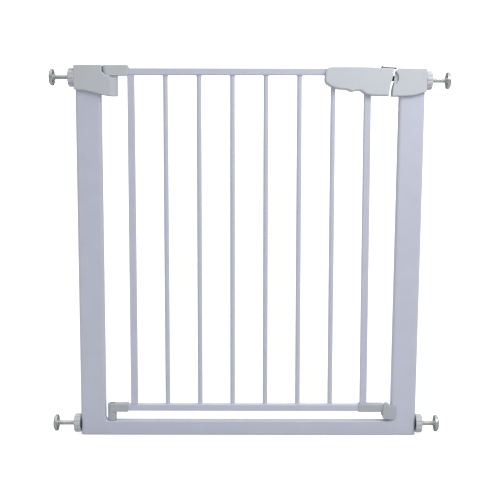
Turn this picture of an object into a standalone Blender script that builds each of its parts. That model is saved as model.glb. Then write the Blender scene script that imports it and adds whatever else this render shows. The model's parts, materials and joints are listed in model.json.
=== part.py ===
"""Pressure-fit safety gate: a steel frame that clamps between two walls, and a barred door that lifts
and swings open.

The origin is the middle of the threshold rail's underside. +X runs along the gate from the hinge post
to the latch post, +Y points to the side that the door opens to, and +Z is up.
"""

import math

import bmesh
import bpy
from mathutils import Matrix, Vector

MM = 0.001
GAP = 0.3 * MM  # clearance between neighbouring pieces
OVERSHOOT = 2 * MM  # how far a cutter runs past the face it opens
SHARP_ANGLE = math.radians(35)

# Frame: two flat tubes joined by a threshold rail
FRAME_WIDTH = 706 * MM
POST_WIDTH = 50 * MM
POST_DEPTH = 20 * MM
POST_EDGE_RADIUS = 6 * MM
POST_WALL = 1.2 * MM
LEFT_POST_TOP = 766.5 * MM
RIGHT_POST_TOP = 761.3 * MM
RIGHT_POST_LEAN = math.radians(0.53)  # outward, because the frame isn't under tension
THRESHOLD_HEIGHT = 30.4 * MM
THRESHOLD_WALL = 1.5 * MM
THRESHOLD_EDGE_RADIUS = 2 * MM

# Door: square rails and stiles with round bars between them
SECTION = 14 * MM
SECTION_EDGE_RADIUS = 1.6 * MM
SECTION_WALL = 1.0 * MM
BAR_DIAMETER = 10 * MM
BAR_WALL = 0.9 * MM
BAR_GAP = 58.5 * MM
BAR_COUNT = 6
DOOR_BOTTOM = 51 * MM
DOOR_TOP = 765.2 * MM
HINGE_STILE_X = -240.35 * MM

# Hinge line and the play in its sockets
HINGE_X = -288 * MM
PIN_RADIUS = 4 * MM
PIN_HEAD_RADIUS = 6.2 * MM
RUNNING_CLEARANCE = 0.35 * MM

# Adjusters at the four corners
SPINDLE_RADIUS = 4 * MM
SPINDLE_INSIDE = 24 * MM  # length of spindle inside the post
NUT_RADIUS = 19.5 * MM
NUT_THICKNESS = 11.2 * MM
NUT_OFFSET = 3.4 * MM  # from the post's face to the nut
PAD_RADIUS = 17 * MM
PAD_DEPTH = 7 * MM
PAD_RIM = 2.2 * MM
RUBBER_DEPTH = 1.6 * MM
BUSH_FLANGE_RADIUS = 13 * MM
BUSH_SLEEVE_RADIUS = 7.5 * MM

# Mouldings
CASING_WALL = 2.5 * MM
HOUSING_HALF_DEPTH = 18 * MM
HANDLE_HALF_DEPTH = 19 * MM
ARM_HALF_DEPTH = 10 * MM
BRACKET_HALF_DEPTH = 9.2 * MM
LATCH_SLOPE = math.radians(3.26)  # the handle's top falls towards the latch post
SCREW_RADIUS = 1.5 * MM
SCREW_HEAD_RADIUS = 3.2 * MM

POST_OUTER = FRAME_WIDTH / 2
POST_INNER = POST_OUTER - POST_WIDTH
HALF_SECTION = SECTION / 2
BAR_PITCH = BAR_GAP + BAR_DIAMETER
FIRST_BAR_X = HINGE_STILE_X + HALF_SECTION + BAR_GAP + BAR_DIAMETER / 2
LAST_BAR_X = FIRST_BAR_X + (BAR_COUNT - 1) * BAR_PITCH
LATCH_STILE_X = LAST_BAR_X + BAR_DIAMETER / 2 + BAR_GAP + HALF_SECTION
RAIL_UNDERSIDE = DOOR_TOP - SECTION
BOTTOM_RAIL_TOP = DOOR_BOTTOM + SECTION

PLANES = {
    "XY": Matrix.Identity(4),
    "XZ": Matrix.Rotation(math.radians(90), 4, "X"),
    "YZ": Matrix(((0, 0, 1, 0), (1, 0, 0, 0), (0, 1, 0, 0), (0, 0, 0, 1))),
}
AXIS_TURNS = {
    "+X": Matrix.Rotation(math.radians(90), 4, "Y"),
    "-X": Matrix.Rotation(math.radians(-90), 4, "Y"),
    "+Y": Matrix.Rotation(math.radians(-90), 4, "X"),
    "+Z": Matrix.Identity(4),
}


# ---------------------------------------------------------------- scene, finishes and placing

def clear_scene():
    for item in list(bpy.data.objects):
        bpy.data.objects.remove(item, do_unlink=True)


def new_collection(name):
    made = bpy.data.collections.new(name)
    bpy.context.scene.collection.children.link(made)
    return made


clear_scene()
PARTS = new_collection("safety_gate")
CUTTERS = new_collection("cutters")


def finish(name, colour, roughness, metallic=0.0):
    made = bpy.data.materials.new(name)
    made.use_nodes = True
    shader = made.node_tree.nodes["Principled BSDF"]
    shader.inputs["Base Color"].default_value = (*colour, 1)
    shader.inputs["Roughness"].default_value = roughness
    shader.inputs["Metallic"].default_value = metallic
    return made


WHITE_COAT = finish("white_powder_coat", (0.78, 0.79, 0.86), 0.42)
GREY_PLASTIC = finish("light_grey_plastic", (0.62, 0.65, 0.68), 0.45)
PALE_PLASTIC = finish("pale_handle_plastic", (0.68, 0.71, 0.76), 0.4)
DARK_PLASTIC = finish("dark_nylon", (0.05, 0.055, 0.06), 0.5)
BLACK_PLASTIC = finish("black_latch_plastic", (0.015, 0.015, 0.017), 0.4)
ZINC = finish("zinc_plated_steel", (0.55, 0.56, 0.55), 0.32, 1.0)
BRONZE_PLATE = finish("brown_slide_plate", (0.2, 0.18, 0.17), 0.4, 0.6)
RUBBER = finish("grey_rubber", (0.12, 0.12, 0.12), 0.8)


def link(made, collection=None):
    (collection or CUTTERS).objects.link(made)
    return made


def axis_empty(name, location, turn=None):
    """An empty on a joint's axis, which the pieces of one body are parented to."""
    made = bpy.data.objects.new(name, None)
    made.empty_display_size = 0.03
    made.matrix_world = Matrix.Translation(location) @ (turn or Matrix.Identity(4))
    return link(made, PARTS)


def attach(piece, parent):
    """Parent a piece so that it keeps the place it has in the gate's upright frame."""
    piece.parent = parent
    piece.matrix_parent_inverse = Matrix.Translation(parent.location).inverted()


def keep(piece, name, look, parent=None):
    """Turn a built shape into a finished, named part."""
    CUTTERS.objects.unlink(piece)
    PARTS.objects.link(piece)
    piece.name = name
    piece.data.name = name
    piece.data.materials.clear()
    piece.data.materials.append(look)
    piece.data.shade_smooth()
    piece.data.set_sharp_from_angle(angle=SHARP_ANGLE)
    if parent:
        attach(piece, parent)
    return piece


# ---------------------------------------------------------------- shapes

def box(low, high):
    """A box between two opposite corners."""
    low, high = Vector(low), Vector(high)
    mesh = bpy.data.meshes.new("box")
    shape = bmesh.new()
    bmesh.ops.create_cube(shape, size=1)
    bmesh.ops.scale(shape, vec=high - low, verts=shape.verts)
    shape.to_mesh(mesh)
    shape.free()
    made = link(bpy.data.objects.new("box", mesh))
    made.location = (low + high) / 2
    return made


def rod(radius, start, axis, length, sides=20):
    """A solid cylinder that begins at start and runs along axis."""
    mesh = bpy.data.meshes.new("rod")
    shape = bmesh.new()
    bmesh.ops.create_cone(
        shape, cap_ends=True, segments=sides, radius1=radius, radius2=radius, depth=length
    )
    bmesh.ops.translate(shape, vec=(0, 0, length / 2), verts=shape.verts)
    shape.to_mesh(mesh)
    shape.free()
    made = link(bpy.data.objects.new("rod", mesh))
    made.matrix_world = Matrix.Translation(start) @ AXIS_TURNS[axis]
    return made


def turned(profile, start, axis, steps=20, closed=False):
    """A turned shape: profile lists (radius, height), and heights run along axis from start."""
    mesh = bpy.data.meshes.new("turned")
    count = len(profile)
    edges = [(i, i + 1) for i in range(count - 1)]
    if closed:
        edges.append((count - 1, 0))
    mesh.from_pydata([(radius, 0, height) for radius, height in profile], edges, [])
    made = link(bpy.data.objects.new("turned", mesh))
    made.matrix_world = Matrix.Translation(start) @ AXIS_TURNS[axis]
    screw = made.modifiers.new("turn", "SCREW")
    screw.steps = steps
    screw.render_steps = steps
    screw.use_merge_vertices = True
    screw.merge_threshold = 0.00001
    return made


def curve_to_mesh(curve, matrix):
    """The closed mesh of a curve, with its caps welded on."""
    source = link(bpy.data.objects.new("curve", curve))
    evaluated = source.evaluated_get(bpy.context.evaluated_depsgraph_get())
    mesh = bpy.data.meshes.new_from_object(evaluated)
    bpy.data.objects.remove(source, do_unlink=True)
    shape = bmesh.new()
    shape.from_mesh(mesh)
    bmesh.ops.remove_doubles(shape, verts=shape.verts, dist=0.000001)
    bmesh.ops.recalc_face_normals(shape, faces=shape.faces)
    shape.to_mesh(mesh)
    shape.free()
    made = link(bpy.data.objects.new("solid", mesh))
    made.matrix_world = matrix
    return made


def slab(outline, plane, low, high):
    """A flat outline in one plane, given thickness from low to high across that plane."""
    curve = bpy.data.curves.new("outline", "CURVE")
    curve.dimensions = "2D"
    curve.fill_mode = "BOTH"
    curve.extrude = (high - low) / 2
    spline = curve.splines.new("POLY")
    spline.points.add(len(outline) - 1)
    for point, (u, v) in zip(spline.points, outline):
        point.co = (u, v, 0, 1)
    spline.use_cyclic_u = True
    turn = PLANES[plane]
    across = (turn @ Vector((0, 0, 1))) * (-1 if plane == "XZ" else 1)
    return curve_to_mesh(curve, Matrix.Translation(across * (low + high) / 2) @ turn)


def tube(outline, plane, low, high, wall):
    """A hollow tube with open ends along Z (plane XY) or X (plane YZ), whose outside is the outline."""
    mesh = bpy.data.meshes.new("tube")
    shape = bmesh.new()
    ring = [shape.verts.new((u, v, low)) for u, v in outline]
    edges = [shape.edges.new((ring[i - 1], ring[i])) for i in range(len(ring))]
    raised = bmesh.ops.extrude_edge_only(shape, edges=edges)
    top = [item for item in raised["geom"] if isinstance(item, bmesh.types.BMVert)]
    bmesh.ops.translate(shape, vec=(0, 0, high - low), verts=top)
    bmesh.ops.recalc_face_normals(shape, faces=shape.faces)
    shape.to_mesh(mesh)
    shape.free()
    made = link(bpy.data.objects.new("tube", mesh))
    made.matrix_world = PLANES[plane]
    shell = made.modifiers.new("wall", "SOLIDIFY")
    shell.thickness = wall
    shell.offset = -1
    shell.use_even_offset = True
    return made


def bevel(piece, width, segments=2, angle=40):
    rounding = piece.modifiers.new("edges", "BEVEL")
    rounding.width = width
    rounding.segments = segments
    rounding.limit_method = "ANGLE"
    rounding.angle_limit = math.radians(angle)
    return piece


def round_faces(piece, width, segments=2):
    """Round the rims of a slab's two flat faces."""
    shape = bmesh.new()
    shape.from_mesh(piece.data)
    rims = [
        edge for edge in shape.edges
        if abs(edge.verts[0].co.z - edge.verts[1].co.z) < 0.01 * MM
        and edge.calc_face_angle(0) > math.radians(60)
    ]
    bmesh.ops.bevel(
        shape, geom=rims, offset=width, segments=segments, affect="EDGES", profile=0.5,
        clamp_overlap=True,
    )
    shape.to_mesh(piece.data)
    shape.free()
    return piece


def combine(piece, operation, tools):
    for tool in tools:
        step = piece.modifiers.new(operation.lower(), "BOOLEAN")
        step.operation = operation
        step.solver = "EXACT"
        step.object = tool
        tool.hide_render = True
        tool.display_type = "WIRE"
    return piece


def cut(piece, *tools):
    return combine(piece, "DIFFERENCE", tools)


def join(piece, *tools):
    return combine(piece, "UNION", tools)


# ---------------------------------------------------------------- outlines

def arc(centre, radius, start, end, segments):
    """Points on an arc, angles in degrees."""
    points = []
    for i in range(segments + 1):
        angle = math.radians(start + (end - start) * i / segments)
        points.append((centre[0] + radius * math.cos(angle), centre[1] + radius * math.sin(angle)))
    return points


def rounded_rectangle(low, high, radius, segments=3):
    (x0, y0), (x1, y1) = low, high
    centres = [(x1 - radius, y1 - radius), (x0 + radius, y1 - radius)]
    centres += [(x0 + radius, y0 + radius), (x1 - radius, y0 + radius)]
    points = []
    for corner, centre in enumerate(centres):
        points += arc(centre, radius, 90 * corner, 90 * corner + 90, segments)
    return points


def falling_edge(start, end, steps):
    """Points on an S-shaped edge that leaves and arrives level."""
    points = []
    for i in range(steps + 1):
        t = i / steps
        ease = t * t * (3 - 2 * t)
        points.append((start[0] + (end[0] - start[0]) * t, start[1] + (end[1] - start[1]) * ease))
    return points


def inset(outline, distance):
    """The outline moved inwards by distance; the outline runs anticlockwise."""
    points = []
    count = len(outline)
    for i in range(count):
        before, here, after = (Vector(outline[(i + k) % count]) for k in (-1, 0, 1))
        first = (here - before).normalized()
        second = (after - here).normalized()
        normal = Vector((-first.y - second.y, first.x + second.x))
        normal /= 1 + first.dot(second)
        points.append(tuple(here + normal * distance))
    return points


def millimetres(points):
    return [(u * MM, v * MM) for u, v in points]


# ---------------------------------------------------------------- screws and casing halves

def screw(name, x, z, face, tip, parent):
    """A pan-head screw driven in from the rear, with its head's underside at face."""
    head = 2 * MM
    profile = [(0, head), (2.2 * MM, head), (SCREW_HEAD_RADIUS, 0.9 * MM), (SCREW_HEAD_RADIUS, 0)]
    profile += [(SCREW_RADIUS, 0), (SCREW_RADIUS, tip - face + 1 * MM), (0, tip - face)]
    made = turned(profile, (x, face, z), "+Y", steps=10)
    return keep(made, name, ZINC, parent)


def screw_well(x, z, rear, face, tip):
    """Cutters for a screw that goes in from the rear: the head's recess and the hole for its shank."""
    recess = rod(SCREW_HEAD_RADIUS + GAP, (x, face - GAP, z), "+Y", rear - face + OVERSHOOT, 16)
    hole = rod(SCREW_RADIUS + GAP, (x, tip - MM, z), "+Y", face - tip + OVERSHOOT, 16)
    return recess, hole


def halves(whole, low, high, look, parent, names):
    """Split a casing at its middle plane into a front and a rear half."""
    front = box(low, (high[0], -GAP / 2, high[2]))
    rear = box((low[0], GAP / 2, low[2]), high)
    for piece, name in zip((front, rear), names):
        combine(piece, "INTERSECT", [whole])
        keep(piece, name, look, parent)
    return front, rear


# ---------------------------------------------------------------- frame

LEAN = axis_empty(
    "right_post_lean", (POST_OUTER, 0, 0), Matrix.Rotation(RIGHT_POST_LEAN, 4, "Y")
)


def on_right_post(*pieces):
    """Lean cutters with the right post."""
    for piece in pieces:
        attach(piece, LEAN)
    return pieces


UPPER_LEFT_SPINDLE = 746.8 * MM
UPPER_RIGHT_SPINDLE = 741.5 * MM
LOWER_SPINDLE = 23.8 * MM
HINGE_SCREWS = [(-328 * MM, 731 * MM), (-277 * MM, 717 * MM)]
STRIKER_SCREWS = [(328 * MM, 726 * MM), (291 * MM, 717 * MM)]
HOUSING_SCREW_FACE = 15.5 * MM
HOUSING_SCREW_TIP = 1 * MM
KEEPER_SCREW_Z = 43.5 * MM


def post(side, top, spindles, screw_at):
    """A flat tube, closed underneath; side is -1 for the hinge post and 1 for the latch post."""
    ends = sorted((side * POST_INNER, side * POST_OUTER))
    half_depth = POST_DEPTH / 2
    outline = rounded_rectangle((ends[0], -half_depth), (ends[1], half_depth), POST_EDGE_RADIUS)
    made = round_faces(slab(outline, "XY", 0, top), 0.8 * MM, 1)
    cut(made, slab(inset(outline, POST_WALL), "XY", POST_WALL, top + OVERSHOOT))
    outward = "-X" if side < 0 else "+X"
    hole_start = side * (POST_OUTER - POST_EDGE_RADIUS)
    for height in spindles:
        cut(made, rod(BUSH_SLEEVE_RADIUS + GAP, (hole_start, 0, height), outward, 10 * MM))
    cut(made, rod(SCREW_RADIUS + GAP, (screw_at[0], 5 * MM, screw_at[1]), "+Y", 10 * MM, 12))
    return made


def frame_tubes():
    left = post(-1, LEFT_POST_TOP, (UPPER_LEFT_SPINDLE, LOWER_SPINDLE), HINGE_SCREWS[0])
    keep(left, "left_post", WHITE_COAT)
    right = post(1, RIGHT_POST_TOP, (UPPER_RIGHT_SPINDLE, LOWER_SPINDLE), STRIKER_SCREWS[0])
    keeper_hole = rod(
        SCREW_RADIUS + GAP, (POST_INNER - 5 * MM, 0, KEEPER_SCREW_Z), "+X", 10 * MM, 12
    )
    cut(right, keeper_hole)
    on_right_post(*(step.object for step in right.modifiers if step.type == "BOOLEAN"))
    keep(right, "right_post", WHITE_COAT, LEAN)

    half_depth = POST_DEPTH / 2
    outline = rounded_rectangle(
        (-half_depth, 0), (half_depth, THRESHOLD_HEIGHT), THRESHOLD_EDGE_RADIUS, 2
    )
    reach = POST_INNER - GAP
    rail = tube(outline, "YZ", -reach, reach, THRESHOLD_WALL)
    cut(rail, rod(6.1 * MM, (HINGE_X, 0, 20 * MM), "+Z", 20 * MM))
    keep(rail, "threshold_rail", WHITE_COAT)


# ---------------------------------------------------------------- hinge housing

HINGE_HOUSING_TOP = 769.5 * MM
HINGE_SEAT = 748.9 * MM  # top of the socket, just under the arm
ARM_HEAD_RADIUS = 10 * MM
SLIT_X = HINGE_X - ARM_HEAD_RADIUS - 0.4 * MM
SOCKET_RADIUS = 7 * MM
SOCKET_BOTTOM = 713 * MM


def hinge_housing():
    left, right = -355 * MM, -264.5 * MM
    underside_left, underside_right = 720.8 * MM, 708.6 * MM
    lip_top = 758.5 * MM
    outline = falling_edge((left + 8 * MM, underside_left), (-276 * MM, underside_right), 8)
    outline = [(left, underside_left), *outline, (right, underside_right)]
    outline += [(right, HINGE_SEAT), (HINGE_X - 0.8 * MM, HINGE_SEAT), (SLIT_X, lip_top)]
    outline += [(SLIT_X, HINGE_HOUSING_TOP)]
    outline += arc((left + 2 * MM, HINGE_HOUSING_TOP - 2 * MM), 2 * MM, 90, 180, 3)
    depth = HOUSING_HALF_DEPTH
    whole = round_faces(slab(outline, "XZ", -depth, depth), 2 * MM)

    end_radius = 16.5 * MM
    end_start, far_left, past_face = right - end_radius, left - 5 * MM, depth + MM
    plan = [(end_start, past_face), (far_left, past_face)]
    plan += [(far_left, -past_face), (end_start, -past_face)]
    plan += arc((end_start, end_radius - depth), end_radius, -90, 0, 6)[1:]
    plan += arc((end_start, depth - end_radius), end_radius, 0, 90, 6)[:-1]
    combine(whole, "INTERSECT", [slab(plan, "XY", 690 * MM, 780 * MM)])

    post_half = POST_DEPTH / 2 + GAP
    post_space = box(
        (-POST_OUTER - GAP, -post_half, 690 * MM), (-POST_INNER + GAP, post_half, 766.9 * MM)
    )
    hollow_half = depth - CASING_WALL
    hollow = box((-352 * MM, -hollow_half, 724 * MM), (-304 * MM, hollow_half, 764 * MM))
    arm_half = ARM_HALF_DEPTH + 0.5 * MM
    arm_space = box(
        (SLIT_X, -arm_half, HINGE_SEAT - GAP), (-255 * MM, depth + OVERSHOOT, 780 * MM)
    )
    socket = rod(SOCKET_RADIUS + GAP, (HINGE_X, 0, SOCKET_BOTTOM), "+Z", 50 * MM)
    flange = rod(
        BUSH_FLANGE_RADIUS + GAP, (-345 * MM, 0, UPPER_LEFT_SPINDLE), "-X", 20 * MM, 28
    )
    cut(whole, post_space, hollow, arm_space, socket, flange)
    slope = millimetres([(-282.8, 750), (-282.8, 748.9), (-264, 740), (-260, 740), (-260, 750)])
    for side in (-1, 1):
        near, far = sorted((side * 7.8 * MM, side * (depth + OVERSHOOT)))
        cut(whole, slab(slope, "XZ", near, far))

    front, rear = halves(
        whole, (-360 * MM, -25 * MM, 700 * MM), (-250 * MM, 25 * MM, 780 * MM), GREY_PLASTIC, None,
        ("hinge_housing_front", "hinge_housing_rear"),
    )
    (boss_x, boss_z), (low_x, low_z) = HINGE_SCREWS
    join(rear, rod(4.5 * MM, (boss_x, POST_DEPTH / 2 + GAP, boss_z), "+Y", 6.5 * MM, 16))
    for x, z in HINGE_SCREWS:
        cut(rear, *screw_well(x, z, depth, HOUSING_SCREW_FACE, -9 * MM))
    cut(front, rod(SCREW_RADIUS + GAP, (low_x, -9.5 * MM, low_z), "+Y", 20 * MM, 12))
    screw("hinge_housing_screw_upper", boss_x, boss_z, HOUSING_SCREW_FACE, HOUSING_SCREW_TIP, None)
    screw("hinge_housing_screw_lower", low_x, low_z, HOUSING_SCREW_FACE, -8 * MM, None)


def hinge_sockets():
    bore = PIN_RADIUS + RUNNING_CLEARANCE
    low, high = SOCKET_BOTTOM + GAP, HINGE_SEAT - 2 * GAP
    ring = [(bore, high), (SOCKET_RADIUS, high), (SOCKET_RADIUS, low), (bore, low)]
    keep(turned(ring, (HINGE_X, 0, 0), "+Z", closed=True), "upper_hinge_socket", DARK_PLASTIC)

    seat = THRESHOLD_HEIGHT + GAP
    sleeve, flange = 5.8 * MM, 8.5 * MM
    top, bottom = 34.6 * MM, 15 * MM
    ring = [(bore, top), (flange - MM, top), (flange, top - MM), (flange, seat)]
    ring += [(sleeve, seat), (sleeve, bottom), (bore, bottom)]
    keep(turned(ring, (HINGE_X, 0, 0), "+Z", closed=True), "lower_hinge_bush", DARK_PLASTIC)


# ---------------------------------------------------------------- striker housing and lower keeper

def striker_housing():
    top = 764.3 * MM
    right = 355 * MM
    edge = millimetres([(297.5, 764.3), (293.4, 761.4), (290.3, 756.5), (288.4, 745), (286.8, 735),
                        (283.4, 729), (281.7, 721)])
    underside = millimetres([(281.7, 708.6), (300, 708.4), (321, 709.3), (336, 712), (355, 717.6)])
    outline = [*edge, *underside]
    outline += arc((right - 2 * MM, top - 2 * MM), 2 * MM, 0, 90, 3)
    depth = HOUSING_HALF_DEPTH
    whole = round_faces(slab(outline, "XZ", -depth, depth), 2 * MM)
    attach(whole, LEAN)

    post_half = POST_DEPTH / 2 + GAP
    post_space = box(
        (POST_INNER - GAP, -post_half, 690 * MM), (POST_OUTER + GAP, post_half, 761.8 * MM)
    )
    hollow_half = depth - CASING_WALL
    hollow = box((304 * MM, -hollow_half, 720 * MM), (352 * MM, hollow_half, 760 * MM))
    flange = rod(
        BUSH_FLANGE_RADIUS + GAP, (345 * MM, 0, UPPER_RIGHT_SPINDLE), "+X", 20 * MM, 28
    )
    cut(whole, *on_right_post(post_space, hollow, flange))

    # A crescent dished into the front, and behind it a channel with room for the bolt to lift and
    # to swing out. Both are cut upright, because the bolt doesn't lean with the post.
    crescent = [(296 * MM + 8.5 * MM * math.cos(a), 745.3 * MM + 12.6 * MM * math.sin(a))
                for a in (math.radians(20 * i) for i in range(18))]
    cut(whole, slab(crescent, "XZ", -depth - OVERSHOOT, -10 * MM))
    channel = box((280 * MM, -6.2 * MM, 737.5 * MM), (301 * MM, depth + OVERSHOOT, 762 * MM))
    cut(whole, channel)

    front, rear = halves(
        whole, (270 * MM, -25 * MM, 700 * MM), (375 * MM, 25 * MM, 780 * MM), GREY_PLASTIC, None,
        ("striker_housing_front", "striker_housing_rear"),
    )
    (boss_x, boss_z), (low_x, low_z) = STRIKER_SCREWS
    boss = rod(4.5 * MM, (boss_x, POST_DEPTH / 2 + GAP, boss_z), "+Y", 6.5 * MM, 16)
    join(rear, *on_right_post(boss))
    for x, z in STRIKER_SCREWS:
        cut(rear, *on_right_post(*screw_well(x, z, depth, HOUSING_SCREW_FACE, -9 * MM)))
    hole = rod(SCREW_RADIUS + GAP, (low_x, -9.5 * MM, low_z), "+Y", 20 * MM, 12)
    cut(front, *on_right_post(hole))
    screw("striker_housing_screw_upper", boss_x, boss_z, HOUSING_SCREW_FACE, HOUSING_SCREW_TIP, LEAN)
    screw("striker_housing_screw_lower", low_x, low_z, HOUSING_SCREW_FACE, -8 * MM, LEAN)


def lower_keeper():
    """A cup with a high front wall, which the door's peg closes against, and a low rear wall."""
    left, right = 283.6 * MM, 313.5 * MM
    bottom = 35 * MM
    front_top, rear_top = 66 * MM, 47 * MM
    inner, outer = POST_DEPTH / 2 + 0.4 * MM, POST_DEPTH / 2 + 3 * MM
    plate_back = POST_INNER - 0.1 * MM
    plate_front = plate_back - 2.6 * MM
    corner = 4 * MM
    made = slab(rounded_rectangle((left, bottom), (right, front_top), corner), "XZ", -outer, -inner)
    rear = slab(rounded_rectangle((left, bottom), (right, rear_top), corner), "XZ", inner, outer)
    back = box((plate_front, -inner - MM, bottom + 2 * MM), (plate_back, inner + MM, 60 * MM))
    floor = box((left + corner, -inner - MM, bottom), (plate_front + MM, inner + MM, 38 * MM))
    join(made, rear, back, floor)
    hole = rod(SCREW_RADIUS + GAP, (plate_front - 5 * MM, 0, KEEPER_SCREW_Z), "+X", 12 * MM, 12)
    cut(made, hole)
    on_right_post(rear, back, floor, hole)
    keep(made, "lower_keeper", GREY_PLASTIC, LEAN)

    profile = [(0, 2 * MM), (2 * MM, 2 * MM), (SCREW_HEAD_RADIUS, 0.8 * MM), (SCREW_HEAD_RADIUS, 0)]
    profile += [(SCREW_RADIUS, 0), (SCREW_RADIUS, -11 * MM), (0, -12 * MM)]
    head = (plate_front - GAP, 0, KEEPER_SCREW_Z)
    keep(turned(profile, head, "-X", steps=12), "keeper_screw", ZINC, LEAN)


# ---------------------------------------------------------------- adjusters

ADJUSTERS = {
    # corner: (side, spindle height, distance from the middle to the pad's rim, lobe angle)
    "upper_left": (-1, UPPER_LEFT_SPINDLE, 403.7 * MM, 27),
    "lower_left": (-1, LOWER_SPINDLE, 408.6 * MM, -27),
    "upper_right": (1, UPPER_RIGHT_SPINDLE, 402.7 * MM, 24),
    "lower_right": (1, LOWER_SPINDLE, 400.4 * MM, -24),
}


def nut_outline(lobe_angle):
    """Six broad lobes with narrow grooves between them."""
    groove = 2.2 * MM
    points = []
    steps = 36
    for i in range(steps):
        angle = 2 * math.pi * i / steps
        notch = (0.5 + 0.5 * math.cos(6 * angle)) ** 4
        radius = NUT_RADIUS - groove * notch
        turned_by = angle + math.radians(180 + lobe_angle)
        points.append((radius * math.cos(turned_by), radius * math.sin(turned_by)))
    return points


def adjuster(corner):
    side, height, rim, lobe_angle = ADJUSTERS[corner]
    outward = "-X" if side < 0 else "+X"
    post_parent = LEAN if side > 0 else None
    axis = axis_empty(f"adjuster_axis_{corner}", (side * POST_OUTER, 0, height))
    if post_parent:
        attach(axis, post_parent)

    def at(distance):
        return (side * distance, 0, height)

    def place(piece, name, look, parent=axis):
        return keep(piece, f"{name}_{corner}", look, parent)

    bore = SPINDLE_RADIUS + RUNNING_CLEARANCE
    flange_low = POST_OUTER + GAP
    flange_depth = NUT_OFFSET - 2 * GAP
    ring = [(bore, flange_depth), (BUSH_FLANGE_RADIUS - 0.8 * MM, flange_depth)]
    ring += [(BUSH_FLANGE_RADIUS, flange_depth - 0.8 * MM), (BUSH_FLANGE_RADIUS, 0)]
    ring += [(BUSH_SLEEVE_RADIUS, 0), (BUSH_SLEEVE_RADIUS, -11 * MM), (bore, -11 * MM)]
    bush = turned(ring, at(flange_low), outward, closed=True)
    place(bush, "spindle_bush", DARK_PLASTIC, post_parent)

    nut_low = POST_OUTER + NUT_OFFSET
    span = sorted((side * nut_low, side * (nut_low + NUT_THICKNESS)))
    nut = slab(nut_outline(lobe_angle), "YZ", *span)
    nut.location.z = height
    round_faces(nut, 1.6 * MM, 1)
    hole = rod(bore, at(nut_low - OVERSHOOT), outward, NUT_THICKNESS + 2 * OVERSHOOT)
    if side > 0:
        on_right_post(hole)
    cut(nut, hole)
    place(nut, "adjuster_nut", GREY_PLASTIC)

    spindle_start = POST_OUTER - SPINDLE_INSIDE
    pad_start = rim - PAD_DEPTH
    length = pad_start - GAP - spindle_start
    end = 1 * MM
    rod_profile = [(0, length), (SPINDLE_RADIUS, length), (SPINDLE_RADIUS, end)]
    rod_profile += [(SPINDLE_RADIUS - end, 0), (0, 0)]
    place(turned(rod_profile, at(spindle_start), outward, 16), "tension_spindle", ZINC)

    dome = PAD_DEPTH - PAD_RIM
    dish = [(0, PAD_DEPTH), (PAD_RADIUS - MM, PAD_DEPTH), (PAD_RADIUS, PAD_DEPTH - 0.8 * MM)]
    dish += [(PAD_RADIUS, dome), (0.8 * PAD_RADIUS, 0.6 * dome), (0.5 * PAD_RADIUS, 0.2 * dome)]
    dish += [(0.32 * PAD_RADIUS, 0), (0, 0)]
    place(turned(dish, at(pad_start), outward), "wall_pad", ZINC)

    rubber = [(0, RUBBER_DEPTH), (PAD_RADIUS - 3.4 * MM, RUBBER_DEPTH)]
    rubber += [(PAD_RADIUS - 2.8 * MM, RUBBER_DEPTH - 0.6 * MM), (PAD_RADIUS - 2.8 * MM, 0), (0, 0)]
    place(turned(rubber, at(rim + GAP), outward), "pad_rubber", RUBBER)


# ---------------------------------------------------------------- door

DOOR = axis_empty("door_hinge_axis", (HINGE_X, 0, 0))
HANDLE_RAIL_END = LATCH_STILE_X + HALF_SECTION
ARM_RAIL_START = -276 * MM
BRACKET_RAIL_START = -272 * MM
CAP_RAIL_END = 272 * MM


def square_section(centre_v=0.0):
    low, high = -HALF_SECTION, HALF_SECTION
    return rounded_rectangle(
        (low, centre_v + low), (high, centre_v + high), SECTION_EDGE_RADIUS, 2
    )


def door_tubes():
    top = tube(square_section(DOOR_TOP - HALF_SECTION), "YZ", ARM_RAIL_START, HANDLE_RAIL_END,
               SECTION_WALL)
    keep(top, "top_rail", WHITE_COAT, DOOR)
    bottom = tube(square_section(DOOR_BOTTOM + HALF_SECTION), "YZ", BRACKET_RAIL_START,
                  CAP_RAIL_END, SECTION_WALL)
    keep(bottom, "bottom_rail", WHITE_COAT, DOOR)

    low, high = BOTTOM_RAIL_TOP + GAP, RAIL_UNDERSIDE - GAP
    for name, x in (("hinge_stile", HINGE_STILE_X), ("latch_stile", LATCH_STILE_X)):
        stile = tube(square_section(), "XY", low, high, SECTION_WALL)
        stile.location.x = x
        keep(stile, name, WHITE_COAT, DOOR)
    for number in range(BAR_COUNT):
        circle = arc((0, 0), BAR_DIAMETER / 2, 0, 360 - 360 / 16, 15)
        bar = tube(circle, "XY", low, high, BAR_WALL)
        bar.location.x = FIRST_BAR_X + number * BAR_PITCH
        keep(bar, f"bar_{number + 1}", WHITE_COAT, DOOR)


def rail_space(start, end, centre_z):
    """A cutter for the square rail, with clearance round it."""
    half = HALF_SECTION + GAP
    return box((start, -half, centre_z - half), (end, half, centre_z + half))


def stadium_end(half, right, corner):
    """A bar's plan that is round about the hinge line at its left end."""
    points = arc((HINGE_X, 0), half, 90, 270, 10)
    points += arc((right - corner, -half + corner), corner, -90, 0, 2)
    points += arc((right - corner, half - corner), corner, 0, 90, 2)
    return points


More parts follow.
